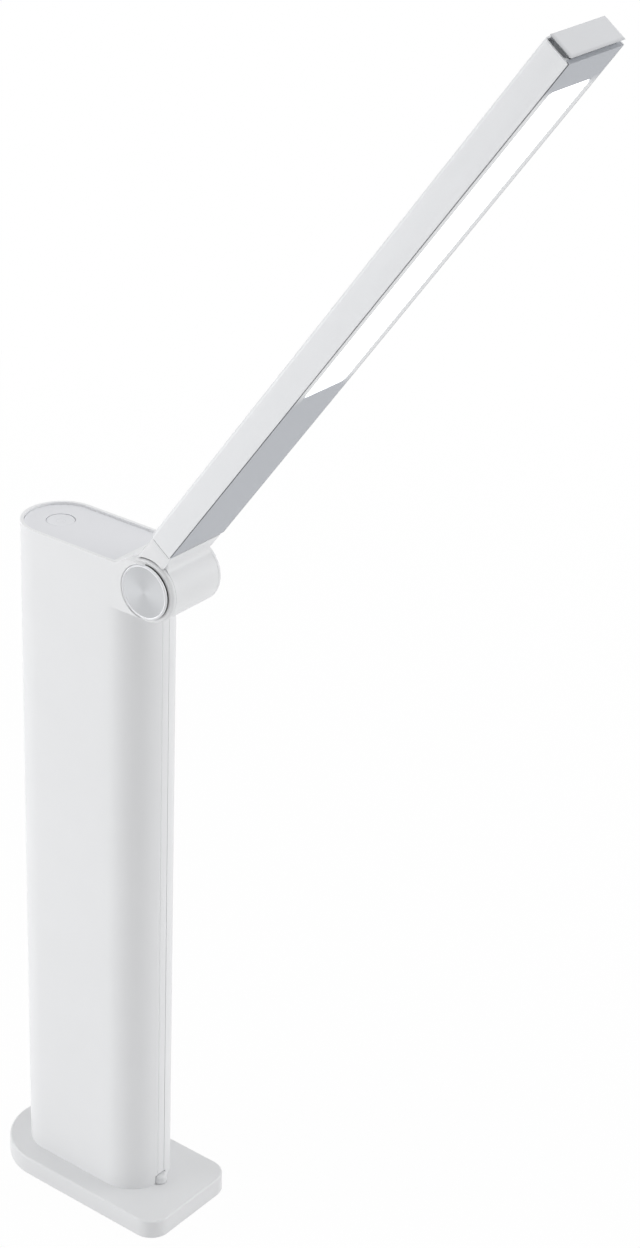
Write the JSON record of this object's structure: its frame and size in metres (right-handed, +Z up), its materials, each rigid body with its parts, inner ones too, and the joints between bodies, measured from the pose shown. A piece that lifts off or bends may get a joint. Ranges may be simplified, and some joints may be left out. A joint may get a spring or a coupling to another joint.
{
  "type": "folding desk lamp",
  "caption": "Folding desk lamp: a tall column with rounded ends on a flat base, and a slim light arm that turns on a barrel hinge at the column's head.",
  "frame": {"origin": "middle of the column's section, midway between its rounded ends, on the surface that the lamp stands on", "axes": "+Z up the column; +X towards the side that the light arm opens and folds on, along the column's longer side; +Y across the column, along the hinge"},
  "size_m": [0.3061, 0.0628, 0.6598],
  "materials": {
    "white_plastic": "satin white moulding",
    "panel_plastic": "pale grey moulding",
    "grey_plastic": "matt silver grey",
    "black_plastic": "matt black",
    "white_rubber": "soft white",
    "black_rubber": "matt black",
    "plain_steel": "zinc plated",
    "cap_metal": "satin silver",
    "arm_metal": "satin silver",
    "board": "green lacquer",
    "white_board": "white lacquer",
    "emitter": "clear yellow",
    "opal": "opal, lit",
    "fibre": "pressed fibre",
    "lead_skin": "matt black"
  },
  "bodies": {
    "stand": {"base_shell": "white_plastic", "base_weight": "plain_steel", "base_cover": "grey_plastic", "rubber_sole": "black_rubber", "cover_screws": "plain_steel", "column_screws": "plain_steel", "column_shell": "white_plastic", "front_strip": "white_plastic", "rest_bumper": "white_rubber", "top_panel": "panel_plastic", "switch_board": "board", "tact_switch": "black_plastic", "switch_screws": "plain_steel", "driver_board": "board", "driver_parts": "black_plastic", "power_jack": "black_plastic", "jack_nut": "plain_steel", "jack_lead": "lead_skin", "switch_lead": "lead_skin", "column_lead": "lead_skin", "near_pin": "plain_steel", "far_bush": "plain_steel", "near_cap": "cap_metal", "far_cap": "cap_metal"},
    "key": {"power_key": "panel_plastic", "key_clip": "plain_steel"},
    "arm": {"arm_root": "white_plastic", "fibre_washers": "fibre", "disc_springs": "plain_steel", "arm_channel": "arm_metal", "arm_screws": "plain_steel", "bezel": "grey_plastic", "diffuser": "opal", "led_board": "white_board", "leds": "emitter", "led_screws": "plain_steel", "arm_lead": "lead_skin", "tip_cap": "grey_plastic"}
  },
  "joints": [
    {"name": "arm_hinge", "type": "hinge", "parent": "stand", "child": "arm", "pos_m": [0.0457, 0, 0.3659], "axis": [0, -1, 0], "range_deg": [-144.1, 0]},
    {"name": "key_press", "type": "slide", "parent": "stand", "child": "key", "axis": [0, 0, -1], "range_m": [0, 0.0006], "stiffness_N_per_m": 800}
  ]
}
